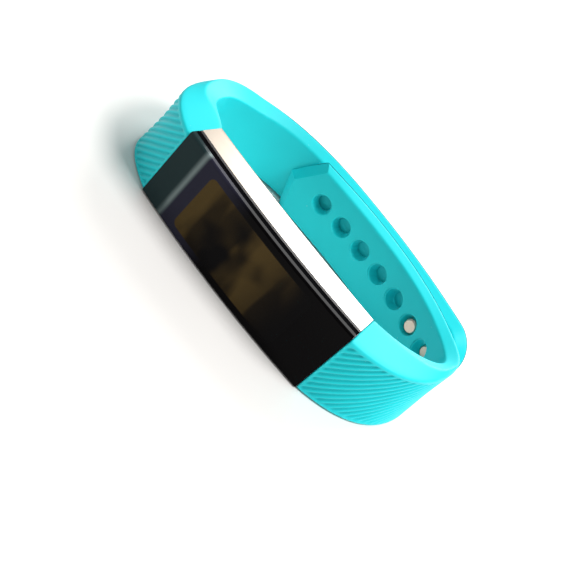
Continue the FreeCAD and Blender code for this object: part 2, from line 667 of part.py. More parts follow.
def rounded_plate(centre, along, outward, length, height, thickness, corner):
    """A flat plate with round corners whose inner face is centred on a point."""
    flat = Part.makeBox(length, height, thickness, Vector(-length / 2, -height / 2, 0))
    upright = [e for e in flat.Edges if e.BoundBox.ZLength > thickness / 2]
    flat = flat.makeFillet(corner, upright)
    across = outward.cross(along)
    matrix = FreeCAD.Matrix(along.x, across.x, outward.x, centre.x,
                            along.y, across.y, outward.y, centre.y,
                            along.z, across.z, outward.z, centre.z,
                            0, 0, 0, 1)
    return flat.transformGeometry(matrix)


def add_clasp(hole_chains, places, clasp_chains):
    """Two pegs riveted to a plate on the outside of the clasp strap, pointing into the loop."""
    middles = []
    for place in places[PEGGED_HOLE - 1:PEGGED_HOLE + 1]:
        inside, outside, outward = frame_at(hole_chains, place)
        middles.append((inside + outside) / 2)
    target = (middles[0] + middles[1]) / 2
    place = place_at_x(clasp_chains[1], target.x + PLATE_LEAD, 3, 4)
    inside, outside, outward = frame_at(clasp_chains, place)
    along = Vector(outward.y, -outward.x, 0)
    shift = (target - outside).dot(along)
    seat = Vector(outside.x, outside.y, MID_Z) + along * shift
    spacing = (middles[1] - middles[0]).dot(along)
    hole_face = frame_at(hole_chains, places[PEGGED_HOLE - 1])[0]
    tip_depth = (outside - hole_face).dot(outward) - PEG_RECESS

    floor = seat - outward * PLATE_RECESS
    plate = rounded_plate(floor, along, outward, PLATE_LENGTH, PLATE_HEIGHT, PLATE_THICKNESS,
                          PLATE_CORNER)
    recess = rounded_plate(floor, along, outward, PLATE_LENGTH + 2 * PLATE_FIT,
                           PLATE_HEIGHT + 2 * PLATE_FIT, DRILL_LENGTH, PLATE_CORNER + PLATE_FIT)
    end = parts["clasp_strap_end"].cut(recess)
    pegs = []
    for step in (-0.5, 0.5):
        head = seat + along * spacing * step + outward * (PLATE_THICKNESS - PLATE_RECESS)
        length = tip_depth + PLATE_THICKNESS - PLATE_RECESS
        peg = Part.makeCylinder(PEG_RADIUS, length, head, -outward)
        tip = head - outward * length
        snap = Part.makeCylinder(PEG_HEAD_RADIUS, PEG_HEAD_LENGTH, tip, outward)
        peg = peg.fuse(snap).removeSplitter()
        tip_edges = [e for e in peg.Edges if (e.CenterOfMass - tip).Length < 0.1]
        peg = peg.makeChamfer(PEG_TIP_CHAMFER, tip_edges)
        pegs.append(peg)
        bore_start = head + outward * DRILL_LENGTH / 4
        bore = Part.makeCylinder(PEG_RADIUS + PEG_BORE_FIT, DRILL_LENGTH, bore_start, -outward)
        end = end.cut(bore)
        plate = plate.cut(bore)
    parts["clasp_strap_end"] = end
    parts["clasp_plate"] = plate
    parts["clasp_pegs"] = Part.makeCompound(pegs)


# ---- Connectors and latches ----
def button_pad(side, chain, near, far, floor):
    """The button's block, whose face slopes with the inside of the strap."""
    corners = [Vector(side * near, floor, 0)]
    for x in (near, far):
        surface = on_chain(chain, place_at_x(chain, side * x, 0, 0.9))
        corners.append(Vector(side * x, surface.y - BUTTON_SUNK, 0))
    corners.append(Vector(side * far, floor, 0))
    pad = Part.Face(Part.makePolygon(corners + corners[:1])).extrude(Vector(0, 0, BUTTON_HEIGHT))
    pad.translate(Vector(0, 0, MID_Z - BUTTON_HEIGHT / 2))
    return pad


def add_connector(side, name, strap_name, inner_chain):
    """A metal tongue buried in the strap that plugs into the tracker, with a sprung latch."""
    face = junction_x()
    tongue_back = TONGUE_FRONT + TONGUE_THICKNESS
    body_low = face + END_GAP + BURIED_START
    body_high = body_low + BURIED_LENGTH
    body_back = TRACKER_DEPTH - BURIED_SKIN
    body_height = TONGUE_HEIGHT + 2 * TONGUE_MARGIN
    tongue = mirrored_box(side, face - TONGUE_DEPTH, body_low, TONGUE_FRONT, tongue_back, TONGUE_HEIGHT)
    body = mirrored_box(side, body_low, body_high, TONGUE_FRONT, body_back, body_height)
    connector = tongue.fuse(body).removeSplitter()

    well_low = body_low + WELL_WALL
    well_high = well_low + BUTTON_LENGTH + 2 * BUTTON_FIT
    well_floor = tongue_back - WELL_DEPTH
    well = mirrored_box(side, well_low, well_high, well_floor, TRACKER_DEPTH + DRILL_LENGTH,
                        BUTTON_HEIGHT + 2 * BUTTON_FIT)
    tip = face - TONGUE_DEPTH + LATCH_TIP
    groove = mirrored_box(side, tip - BUTTON_FIT, well_low + BUTTON_FIT, well_floor,
                          TRACKER_DEPTH + DRILL_LENGTH, LATCH_TOOTH_HEIGHT + 2 * BUTTON_FIT)
    parts[name + "_connector"] = connector.cut(well).cut(groove)

    mouth = mirrored_box(side, face, body_low, TONGUE_FRONT - SOCKET_FIT,
                         tongue_back + LATCH_TOOTH_DEPTH, TONGUE_HEIGHT + 2 * SOCKET_FIT)
    parts[strap_name] = parts[strap_name].cut(body).cut(well).cut(mouth)

    pad_floor = well_floor + SPRING_THICKNESS + BUTTON_TRAVEL + BUTTON_FIT
    near = well_low + BUTTON_FIT
    far = well_high - BUTTON_FIT
    pad = button_pad(side, inner_chain, near, far, pad_floor)
    arm = mirrored_box(side, tip, near, pad_floor, tongue_back - BUTTON_FIT, LATCH_TOOTH_HEIGHT)
    tooth = mirrored_box(side, tip, tip + LATCH_TOOTH_LENGTH, pad_floor,
                         tongue_back + LATCH_TOOTH_DEPTH, LATCH_TOOTH_HEIGHT)
    parts[name + "_latch_button"] = pad.fuse([arm, tooth]).removeSplitter()
    parts[name + "_latch_spring"] = leaf_spring(side, near, far, well_floor, pad_floor)


def leaf_spring(side, near, far, floor, top):
    """An arched leaf that stands on the floor of the latch well and lifts the button."""
    middle = (near + far) / 2
    near_low, near_high = Vector(side * near, floor, 0), Vector(side * near, floor + SPRING_THICKNESS, 0)
    far_low, far_high = Vector(side * far, floor, 0), Vector(side * far, floor + SPRING_THICKNESS, 0)
    upper = Part.Arc(near_high, Vector(side * middle, top, 0), far_high)
    lower = Part.Arc(far_low, Vector(side * middle, top - SPRING_THICKNESS, 0), near_low)
    ends = [Part.makeLine(far_high, far_low), Part.makeLine(near_low, near_high)]
    wire = Part.Wire([upper.toShape(), ends[0], lower.toShape(), ends[1]])
    leaf = Part.Face(wire).extrude(Vector(0, 0, SPRING_HEIGHT))
    leaf.translate(Vector(0, 0, MID_Z - SPRING_HEIGHT / 2))
    return leaf


add_tracker_case()
add_inside()
hole_chains, places = add_hole_strap()
clasp_chains = add_clasp_strap()
add_clasp(hole_chains, places, clasp_chains)
add_connector(-1, "left", "clasp_strap_root", clasp_chains[0])
add_connector(1, "right", "hole_strap_root", hole_chains[0])

whole_box = Part.makeCompound(list(parts.values())).optimalBoundingBox(False, False)
to_origin = Vector(-whole_box.Center.x, -whole_box.Center.y, -whole_box.ZMin)
print("moved by", to_origin.x, to_origin.y, to_origin.z)
for node, shape in parts.items():
    placed = shape.copy()
    placed.translate(to_origin)
    placed.exportStep("parts/" + node + ".step")
    print(node, "solids", len(placed.Solids), "valid", placed.isValid(), "mm3", round(placed.Volume, 2))
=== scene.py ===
# %% [markdown]
# # A ribbed silicone fitness band
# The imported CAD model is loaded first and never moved. It gives the hard parts of the tracker,
# which only need better finishes. The two soft straps are made again here as one skin each,
# because a rubber strap is moulded in one piece and bends along its whole length.

# %% Load the frame
import math
import bmesh
import bpy
import numpy as np
from mathutils import Matrix, Vector


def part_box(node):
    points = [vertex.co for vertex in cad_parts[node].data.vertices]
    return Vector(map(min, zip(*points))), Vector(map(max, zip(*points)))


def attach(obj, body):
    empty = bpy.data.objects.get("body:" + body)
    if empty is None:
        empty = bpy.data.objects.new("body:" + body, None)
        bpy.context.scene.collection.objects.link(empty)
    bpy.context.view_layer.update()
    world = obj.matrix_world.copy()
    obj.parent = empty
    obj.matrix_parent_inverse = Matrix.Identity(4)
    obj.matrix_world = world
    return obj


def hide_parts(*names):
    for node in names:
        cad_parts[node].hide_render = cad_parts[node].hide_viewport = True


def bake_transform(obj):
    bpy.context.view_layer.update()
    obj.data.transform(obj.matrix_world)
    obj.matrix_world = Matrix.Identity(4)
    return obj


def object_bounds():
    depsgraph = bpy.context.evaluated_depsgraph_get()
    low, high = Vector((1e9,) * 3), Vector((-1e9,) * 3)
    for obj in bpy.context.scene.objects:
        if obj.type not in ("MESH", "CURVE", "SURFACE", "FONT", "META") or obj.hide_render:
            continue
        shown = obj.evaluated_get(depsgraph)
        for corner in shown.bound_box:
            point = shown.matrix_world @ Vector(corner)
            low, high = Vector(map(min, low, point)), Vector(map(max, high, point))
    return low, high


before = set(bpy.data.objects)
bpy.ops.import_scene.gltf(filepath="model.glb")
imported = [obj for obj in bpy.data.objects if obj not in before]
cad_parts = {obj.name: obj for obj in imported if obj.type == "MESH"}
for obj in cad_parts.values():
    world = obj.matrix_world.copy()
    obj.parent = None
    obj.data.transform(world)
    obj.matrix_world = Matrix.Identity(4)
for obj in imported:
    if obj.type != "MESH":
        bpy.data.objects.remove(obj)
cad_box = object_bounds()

MM = 0.001

# %% [markdown]
# Sizes are easiest to read from one corner of the tracker: x from the middle of the glass, y back
# from its front corners, and z up from the edge that the band stands on. The glass node says where
# that corner is in the frame, so nothing has to be lined up by eye.

# %% Find the tracker's corner
FRONT_BOW = 1.3
TRACKER_WIDTH = 15.5
TRACKER_DEPTH = 8.66
MID_Z = TRACKER_WIDTH / 2
glass_low, glass_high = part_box("front_glass")
CORNER = Vector(((glass_low[0] + glass_high[0]) / 2, glass_low[1] + FRONT_BOW * MM, glass_low[2]))


def placed(points):
    """Points in millimetres from the tracker's corner, as metres in the frame."""
    return np.asarray(points, float) * MM + np.array(CORNER)


print("corner of the tracker, mm", [round(c / MM, 3) for c in CORNER])

# %% [markdown]
# In plan each face of a strap is a smooth curve. A few anchors give its points and headings, and
# each stretch between two anchors is a Bezier curve, as in a drawing program.


# %% Curves through anchors
def anchor(x, y, heading, before, after):
    return (x, y, math.radians(heading), before, after)


def beside(base, side, distance, before, after):
    """An anchor at the other face of the strap, with the same heading."""
    x, y, heading = base[:3]
    return (x + side * distance * math.sin(heading), y - side * distance * math.cos(heading),
            heading, before, after)


def trace(chain, places):
    """Points along a chain of anchors: place 1.5 is half way from the second to the third."""
    points = []
    for place in places:
        index = min(int(place), len(chain) - 2)
        t = place - index
        x0, y0, h0, _, pull0 = chain[index]
        x3, y3, h3, pull3, _ = chain[index + 1]
        x1, y1 = x0 + pull0 * math.cos(h0), y0 + pull0 * math.sin(h0)
        x2, y2 = x3 - pull3 * math.cos(h3), y3 - pull3 * math.sin(h3)
        weights = ((1 - t) ** 3, 3 * (1 - t) ** 2 * t, 3 * (1 - t) * t * t, t ** 3)
        points.append((sum(w * v for w, v in zip(weights, (x0, x1, x2, x3))),
                       sum(w * v for w, v in zip(weights, (y0, y1, y2, y3)))))
    return np.array(points)


def eased(value, stops):
    """A value that eases from one stop to the next along the strap."""
    places, levels = zip(*stops)
    value = np.clip(value, places[0], places[-1])
    index = min(int(np.searchsorted(places, value, side="right")) - 1, len(places) - 2)
    t = (value - places[index]) / (places[index + 1] - places[index])
    return levels[index] + (levels[index + 1] - levels[index]) * t * t * (3 - 2 * t)


# %% [markdown]
# The strap with the holes leaves the right end of the tracker, turns in a tight bend and runs back
# along the inside of the loop. The strap with the pegs comes round the other way and lies on the
# outside of it. Its last third is nearly straight, so it stands a little off the inner strap.

# %% The two straps in plan
END_GAP = 0.12
END_IN = 0.67
HALF_LENGTH = (glass_high[0] - glass_low[0]) / MM / 2
LOOP_RIGHT, LOOP_LEFT, LOOP_BACK, LOOP_BACK_X = 33.9, 27.95, 33.56, 5.0
HOLE_THICK, TIP_THICK, CLASP_THICK = 2.4, 1.6, 2.62
STRAP_GAP = 0.15
CLASP_RADIUS, CLASP_LENGTH = 98.0, 31.7

hole_inner = [
    anchor(HALF_LENGTH - END_IN + END_GAP, TRACKER_DEPTH, 14.8, 0, 6.9),
    anchor(LOOP_RIGHT, LOOP_BACK - 13.06, 90, 4.2, 2.1),
    anchor(LOOP_RIGHT - 5.52, LOOP_BACK - 5.57, 145.8, 4.7, 8.5),
    anchor(LOOP_BACK_X, LOOP_BACK, 180, 7.8, 7.0),
    anchor(LOOP_BACK_X - 18.4, LOOP_BACK - 1.2, 184, 6.0, 0),
]
hole_outer = [
    anchor(HALF_LENGTH + END_GAP, 0.3, 18, 0, 10.0),
    beside(hole_inner[1], 1, 2.6, 10.0, 3.6),
    beside(hole_inner[2], 1, HOLE_THICK, 5.6, 9.2),
    beside(hole_inner[3], 1, HOLE_THICK, 8.4, 7.2),
    beside(hole_inner[4], 1, TIP_THICK, 6.0, 0),
]
back_in = LOOP_BACK + HOLE_THICK + STRAP_GAP
turn = CLASP_LENGTH / CLASP_RADIUS
third = CLASP_LENGTH / 3
clasp_inner = [
    anchor(-HALF_LENGTH + END_IN - END_GAP, TRACKER_DEPTH, 137.6, 0, 6.0),
    anchor(-LOOP_LEFT, back_in - 16.32, 90, 7.5, 3.9),
    anchor(-LOOP_LEFT + 5.13, back_in - 7.19, 46.5, 2.4, 9.2),
    anchor(LOOP_BACK_X, back_in, 0, 11.7, third),
    anchor(LOOP_BACK_X + CLASP_RADIUS * math.sin(turn), back_in - CLASP_RADIUS * (1 - math.cos(turn)),
           -math.degrees(turn), third, 0),
]
clasp_outer = [
    anchor(-HALF_LENGTH - END_GAP, 0.3, 155.9, 0, 7.7),
    anchor(-LOOP_LEFT - 4.06, back_in - 20.88, 90, 7.9, 8.1),
    anchor(-LOOP_LEFT + 2.31, back_in - 6.09, 40.5, 6.4, 12.7),
    beside(clasp_inner[3], -1, CLASP_THICK, 10.8, third),
    beside(clasp_inner[4], -1, CLASP_THICK, third, 0),
]
print("half length of the tracker", round(HALF_LENGTH, 2), "inside of the clasp strap at", round(back_in, 2))

# %% [markdown]
# A strap is a six-sided bar: a flat outside, a wide bevel up to a ridge, and a narrow bevel down to
# the flat inside. The ridge starts near the inside face, beside the tracker, and moves to the outside
# round the bend, which is what gives the band its twisting highlight. Below the middle the flat
# outside reaches nearly to the edge and flares out a little where the soft strap is bent, and the
# lower edge doesn't taper as the upper one does. The class keeps both faces and the distance walked.

# %% A strap as a sweep
SIDE_WIDTH, BACK_WIDTH = 7.7, 6.45
OUTER_NEAR, OUTER_LOWER, OUTER_FAR = 6.65, 7.55, 5.95
INNER_NEAR, LOWER_FAR = 7.6, 7.3
FLAT_STEPS, BEVEL_STEPS, ROUND_STEPS = 52, 7, 4
CURVE_SAMPLES = 2401


class Strap:
    def __init__(self, inner, outer, inner_far, narrows, lean, flare):
        self.narrows = narrows
        self.places = np.linspace(0, len(inner) - 1, CURVE_SAMPLES)
        self.inside = trace(inner, self.places)
        self.outside = trace(outer, self.places)
        middle = (self.inside + self.outside) / 2
        steps = np.linalg.norm(np.diff(middle, axis=0), axis=1)
        self.walked = np.concatenate([[0], np.cumsum(steps)])
        self.length = self.walked[-1]
        self.inner_far = inner_far
        self.lean = lean
        self.flare = flare

    def at(self, s, share):
        """Points at distances s along the strap, from 0 at the inside face to 1 at the outside."""
        s = np.clip(s, 0, self.length)
        low = np.stack([np.interp(s, self.walked, self.inside[:, i]) for i in (0, 1)], -1)
        high = np.stack([np.interp(s, self.walked, self.outside[:, i]) for i in (0, 1)], -1)
        return low + (high - low) * np.asarray(share)[..., None]

    def thickness(self, s):
        return float(np.linalg.norm(self.at(s, 1.0) - self.at(s, 0.0)))

    def corners(self, s, lower):
        """Half of the section as corners: height from the middle, and depth as a share of the thickness."""
        place = float(np.interp(s, self.walked, self.places))
        ridge = eased(place, [(0.1, 0.94), (1.3, 0.12)])
        flare = 0.0
        outer = [(1.2, OUTER_NEAR), (2.5, OUTER_FAR)]
        side = [(1.0, SIDE_WIDTH), (2.5, BACK_WIDTH)]
        inner = [(0.0, INNER_NEAR), (2.0, self.inner_far)]
        if lower:
            first, last = self.narrows
            flare = eased(place, [(0.0, 0.0), (0.8, self.flare), (1.9, 0.0)])
            outer = [(1.2, OUTER_LOWER), (2.5, LOWER_FAR), (first, LOWER_FAR), (last, OUTER_FAR)]
            side = [(first, SIDE_WIDTH), (last, BACK_WIDTH)]
            inner = [(0.0, INNER_NEAR), (2.0, LOWER_FAR), (first, LOWER_FAR), (last, self.inner_far)]
        return [(0.0, 1.0), (eased(place, outer), 1.0 + flare / self.thickness(s)),
                (eased(place, side), 1 - ridge), (eased(place, inner), 0.0), (0.0, 0.0)]


hole_strap = Strap(hole_inner, hole_outer, 5.6, (4.0, 5.0), -1, 0.35)
clasp_strap = Strap(clasp_inner, clasp_outer, 5.0, (3.1, 3.7), 1, 0.8)
print("strap lengths, mm", round(hole_strap.length, 1), round(clasp_strap.length, 1))

# %% [markdown]
# The front of each strap is moulded with slanting ribs. They are real shape here, not a bump map,
# because they catch the light at the edge of the strap. A groove is a narrow dip, so the ribs
# between stay broad. They fade out round the bend and stop short of the bevels.

# %% Slanting ribs
RIB_PITCH = 1.05
RIB_DEPTH = 0.38
RIB_FULL, RIB_GONE = 12.0, 26.0
RIB_POWER = 1.3
RIB_EDGE, RIB_START, RIB_RISE = 0.6, 0.15, 0.5


def rib_depth(strap, s, z, width):
    """How far the outside is sunk at distance s and height z, in mm."""
    phase = (s + strap.lean * z) / math.sqrt(2) / RIB_PITCH
    groove = (0.5 + 0.5 * np.cos(2 * np.pi * phase)) ** RIB_POWER
    fade = 1 - np.clip((s - RIB_FULL) / (RIB_GONE - RIB_FULL), 0, 1)
    edge = np.clip((width - np.abs(z)) / RIB_EDGE, 0, 1)
    start = np.clip((s - RIB_START) / RIB_RISE, 0, 1)
    return RIB_DEPTH * groove * fade ** RIB_POWER * edge * edge * (3 - 2 * edge) * start


deepest = rib_depth(hole_strap, np.linspace(0, 9, 400), 0.0, OUTER_NEAR).max()
print("deepest groove, mm", round(float(deepest), 3))

# %% [markdown]
# No corner of moulded rubber is sharp. Each corner of the half section is swapped for a short curve,
# and the straight runs between are divided finely enough for the ribs. Every section has the same
# number of points, so that neighbouring sections join into a grid.


# %% One rounded section
PLAIN_RADII, RIBBED_RADII = (0.5, 0.4, 0.35), (0.25, 0.12, 0.35)


def half_section(strap, s, lower, inset=0.0):
    """Heights in mm and depth shares for half a section, from the middle outside to the middle inside."""
    thick = strap.thickness(s)
    corners = [np.array([z, share * thick]) for z, share in strap.corners(s, lower)]
    radii = RIBBED_RADII if lower and s < RIB_GONE else PLAIN_RADII
    runs = [FLAT_STEPS, BEVEL_STEPS, BEVEL_STEPS, FLAT_STEPS // 2]
    cuts = [0.0, *radii, 0.0]
    line = []
    for index in range(4):
        start, finish = corners[index], corners[index + 1]
        along = (finish - start) / np.linalg.norm(finish - start)
        first = start + along * cuts[index]
        last = finish - along * cuts[index + 1]
        for step in range(runs[index] + 1):
            line.append(first + (last - first) * step / runs[index])
        if index == 3:
            break
        after = corners[index + 2] - finish
        onward = finish + after / np.linalg.norm(after) * cuts[index + 1]
        for step in range(1, ROUND_STEPS):
            t = step / ROUND_STEPS
            line.append((1 - t) ** 2 * last + 2 * t * (1 - t) * finish + t * t * onward)
    heights, deep = np.array(line).T
    flat = FLAT_STEPS + 1
    deep[:flat] -= rib_depth(strap, s, -heights[:flat] if lower else heights[:flat], heights[flat - 1])
    heights = heights * (1 - inset / SIDE_WIDTH)
    return (-heights if lower else heights), 0.5 + (deep / thick - 0.5) * (1 - 2 * inset / thick)


print("points in half a section", len(half_section(hole_strap, 20.0, False)[0]))

# %% [markdown]
# The clasp strap's far end is half round. Instead of trimming it, the last sections fan out from one
# point: half a section is swung through a quarter turn on each side, and the two meet at the tip.
# The other strap runs on to its full length square, and is cut to its blunt point afterwards.


# %% Sweep a strap into a mesh
WELD, SLIVER = 2e-6, 1e-6
FINE_STEP, COARSE_STEP, FIRST_STATION = 0.14, 0.45, 0.3
END_ROUNDING = ((0.0, 0.14), (0.12, 0.03))
FAN_STEPS = 24


def solid(name, points, faces):
    """A mesh object from points in mm, welded, with its faces all turned the same way."""
    mesh = bpy.data.meshes.new(name)
    mesh.from_pydata([tuple(p) for p in placed(points)], [], faces)
    work = bmesh.new()
    work.from_mesh(mesh)
    bmesh.ops.remove_doubles(work, verts=work.verts, dist=WELD)
    bmesh.ops.dissolve_degenerate(work, edges=work.edges, dist=SLIVER)
    bmesh.ops.recalc_face_normals(work, faces=work.faces)
    work.to_mesh(mesh)
    work.free()
    piece = bpy.data.objects.new(name, mesh)
    bpy.context.scene.collection.objects.link(piece)
    return piece


def strap_mesh(name, strap, rounded):
    """A strap as one closed mesh, with a half-round far end if that is asked for."""
    body = strap.length - (BACK_WIDTH if rounded else 0.0)
    stations = [*np.arange(FIRST_STATION, RIB_GONE, FINE_STEP), *np.arange(RIB_GONE, body, COARSE_STEP), body]
    rows = []

    def add_row(s, inset=0.0, angle=0.0):
        halves = []
        for lower in (False, True):
            z, share = half_section(strap, s, lower, inset)
            flat = strap.at(s + np.abs(z) * math.sin(angle), share)
            halves.append(np.column_stack([flat, MID_Z + z * math.cos(angle)]))
        rows.append(np.concatenate([halves[0], halves[1][-2:0:-1]]))

    for s, inset in END_ROUNDING:
        add_row(s, inset)
    for s in stations:
        add_row(s)
    if rounded:
        for angle in np.radians(np.linspace(90 / FAN_STEPS, 90, FAN_STEPS)):
            add_row(body, angle=angle)
    count = len(rows[0])
    faces = [[r * count + c, r * count + (c + 1) % count,
              (r + 1) * count + (c + 1) % count, (r + 1) * count + c]
             for r in range(len(rows) - 1) for c in range(count)]
    faces.append(list(range(count))[::-1])
    if not rounded:
        faces.append([(len(rows) - 1) * count + c for c in range(count)])
    return solid(name, np.concatenate(rows), faces)


hole_skin = strap_mesh("hole_strap_skin", hole_strap, rounded=False)
clasp_skin = strap_mesh("clasp_strap_skin", clasp_strap, rounded=True)
print("faces", len(hole_skin.data.polygons), len(clasp_skin.data.polygons))

# %% [markdown]
# The holes are cut with a turned cutter that widens in a small curve at the inside face, the one that
# shows. The cut then leaves a round rim, as moulding does, and no separate bevel is needed.

# %% Cutting tools
HOLE_RADIUS, HOLE_PITCH, FIRST_HOLE, HOLE_COUNT = 2.03, 5.84, 9.3, 8
HOLE_NECK = 1.62
RIM, RIM_SUNK = 0.28, 0.06
OVERSHOOT = 1.2


def turned(name, start, axis, profile, steps=64):
    """A closed solid turned about an axis, in mm: profile holds (distance along, radius)."""
    axis = Vector(axis).normalized()
    side = axis.orthogonal().normalized()
    other = axis.cross(side)
    rings = []
    for distance, radius in profile:
        for k in range(steps):
            angle = 2 * math.pi * k / steps
            rings.append(Vector(start) + axis * distance
                         + (side * math.cos(angle) + other * math.sin(angle)) * radius)
    faces = [[r * steps + k, r * steps + (k + 1) % steps, (r + 1) * steps + (k + 1) % steps,
              (r + 1) * steps + k] for r in range(len(profile) - 1) for k in range(steps)]
    faces.append(list(range(steps))[::-1])
    faces.append([(len(profile) - 1) * steps + k for k in range(steps)])
    return solid(name, [tuple(v) for v in rings], faces)


def block(name, low, high):
    """A closed block square to the frame, between two corners given in metres."""
    ends = (np.array([low, high]) - np.array(CORNER)) / MM
    points = [(ends[i][0], ends[j][1], ends[k][2]) for k in (0, 1) for j in (0, 1) for i in (0, 1)]
    faces = [[0, 2, 3, 1], [4, 5, 7, 6], [0, 1, 5, 4], [2, 6, 7, 3], [0, 4, 6, 2], [1, 3, 7, 5]]
    return solid(name, points, faces)


def cut(piece, tools):
    """Takes the tools, which stay clear of each other, away from the piece and removes them."""
    joined = bmesh.new()
    for tool in tools:
        joined.from_mesh(tool.data)
    joined.to_mesh(tools[0].data)
    joined.free()
    step = piece.modifiers.new("cut", "BOOLEAN")
    step.operation = "DIFFERENCE"
    step.solver = "MANIFOLD"
    step.object = tools[0]
    bpy.context.view_layer.update()
    shaped = piece.evaluated_get(bpy.context.evaluated_depsgraph_get())
    piece.data = bpy.data.meshes.new_from_object(shaped)
    piece.modifiers.clear()
    for tool in tools:
        bpy.data.objects.remove(tool, do_unlink=True)


# %% [markdown]
# A hole's axis runs from the inside face to the outside one at its own place on the strap. The
# cutter's profile is a quarter circle at the inside, for the rim, and then narrows to a neck.

# %% Cut the row of holes
def inner_walk(strap, s_from_tip):
    """Distance along the strap's middle for a distance measured from the tip on its inside."""
    steps = np.linalg.norm(np.diff(strap.inside, axis=0), axis=1)
    from_tip = np.concatenate([[0], np.cumsum(steps[::-1])])[::-1]
    return float(np.interp(-s_from_tip, -from_tip, strap.walked))


rim_curve = [(RIM * (1 - math.cos(a)), RIM * (1 - math.sin(a))) for a in np.radians(range(0, 91, 15))]
hole_tools = []
for index in range(HOLE_COUNT):
    s = inner_walk(hole_strap, FIRST_HOLE + index * HOLE_PITCH)
    low, high = hole_strap.at(s, 0.0), hole_strap.at(s, 1.0)
    thick = float(np.linalg.norm(high - low))
    profile = [(-OVERSHOOT, HOLE_RADIUS + RIM + 0.25)]
    profile += [(d - RIM_SUNK, HOLE_RADIUS + r) for d, r in rim_curve]
    profile += [(d, HOLE_NECK) for d in (thick * 0.5, thick * 0.75, thick + OVERSHOOT)]
    hole_tools.append(turned("hole_tool", (*low, MID_Z), (*(high - low), 0), profile))
cut(hole_skin, hole_tools)
print("holes", HOLE_COUNT, "faces", len(hole_skin.data.polygons))

# %% [markdown]
# The tail ends in a blunt V, so that it is easy to thread. Each side of the V is one flat facet that
# slopes in towards the wrist. A plane divides the mesh near the end, what lies beyond it goes, and a
# single face closes the opening that is left.

# %% Cut the tail's point
TIP_BELOW, TIP_FACET, TIP_ANGLES = 0.7, 1.8, (59.0, 70.0)
TIP_ZONE = 14.0
end_in, end_out = hole_strap.at(hole_strap.length, 0.0), hole_strap.at(hole_strap.length, 1.0)
outward = Vector((*(end_out - end_in), 0)).normalized()
forward = Vector((*(end_in - hole_strap.at(hole_strap.length - 0.5, 0.0)), 0))
forward = (forward - outward * forward.dot(outward)).normalized()
tip = Vector(placed([(*end_out, MID_Z - TIP_BELOW)])[0])
lean = math.atan2(TIP_FACET, TIP_THICK)
work = bmesh.new()
work.from_mesh(hole_skin.data)
for way, angle in zip((1, -1), TIP_ANGLES):
    turn = math.radians(angle)
    away = forward * math.sin(turn) + Vector((0, 0, way)) * math.cos(turn)
    normal = away * math.cos(lean) - outward * math.sin(lean)
    near = {v for v in work.verts if (v.co - tip).length < TIP_ZONE * MM}
    around = [part for part in (*work.edges, *work.faces) if near.issuperset(part.verts)]
    bmesh.ops.bisect_plane(work, geom=[*near, *around], plane_co=tip, plane_no=normal, clear_outer=True)
    bmesh.ops.holes_fill(work, edges=[e for e in work.edges if e.is_boundary])
work.to_mesh(hole_skin.data)
work.free()
print("tail point at", [round(v, 4) for v in tip], "faces", len(hole_skin.data.polygons))

# %% [markdown]
# Each strap is moulded round a metal connector, with a well over its latch button. The wells, and
# the room for the connector, the plate and the pegs, come from those nodes themselves, so the rubber
# fits them wherever they are.

# %% Cut the wells and the clasp seat
NODE_WELD = 1e-7


def grown(name, node, by):
    """A cutting copy of a node, welded, and larger by a small share about its middle."""
    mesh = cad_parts[node].data.copy()
    work = bmesh.new()
    work.from_mesh(mesh)
    bmesh.ops.remove_doubles(work, verts=work.verts, dist=NODE_WELD)
    work.to_mesh(mesh)
    work.free()
    low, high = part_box(node)
    middle = (Vector(low) + Vector(high)) / 2
    mesh.transform(Matrix.Translation(middle) @ Matrix.Scale(by, 4) @ Matrix.Translation(-middle))
    piece = bpy.data.objects.new(name, mesh)
    bpy.context.scene.collection.objects.link(piece)
    return piece


PAD_LENGTH, PAD_FIT, PAD_REACH = 2.6, 0.07, 6.0
CONNECTOR_SLACK = 0.02
for side, skin in ((-1, clasp_skin), (1, hole_skin)):
    name = "left" if side < 0 else "right"
    low, high = (Vector(v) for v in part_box(name + "_connector"))
    pad_low, pad_high = (Vector(v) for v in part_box(name + "_latch_button"))
    fit = Vector((PAD_FIT, 0, PAD_FIT)) * MM
    well_x = pad_low.x if side < 0 else pad_high.x - PAD_LENGTH * MM
    well_low = Vector((well_x, low.y, pad_low.z)) - fit
    well_high = Vector((well_x + PAD_LENGTH * MM, pad_high.y + PAD_REACH * MM, pad_high.z)) + fit
    slack = Vector((1, 1, 1)) * CONNECTOR_SLACK * MM
    cut(skin, [block("connector_room", low - slack, high + slack)])
    cut(skin, [block("latch_well", well_low, well_high)])
print("wells cut", len(hole_skin.data.polygons), len(clasp_skin.data.polygons))

# %% [markdown]
# The two pegs are riveted through the clasp strap into a plate on its outside. The pegs lean with
# the clasp, so the direction of each one is read from the shape of its own mesh.

# %% Seat the pegs and the plate
PEG_RADIUS, PEG_FIT, PEG_BORE = 1.33, 0.04, 8
PLATE_FIT = 1.012


def islands(node):
    """The separate solids of a node, as arrays of points in metres."""
    work = bmesh.new()
    work.from_mesh(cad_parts[node].data)
    bmesh.ops.remove_doubles(work, verts=work.verts, dist=NODE_WELD)
    seen, found = set(), []
    for vert in work.verts:
        if vert in seen:
            continue
        stack, part = [vert], []
        seen.add(vert)
        while stack:
            here = stack.pop()
            part.append(tuple(here.co))
            for edge in here.link_edges:
                there = edge.other_vert(here)
                if there not in seen:
                    seen.add(there)
                    stack.append(there)
        found.append(np.array(part))
    work.free()
    return found


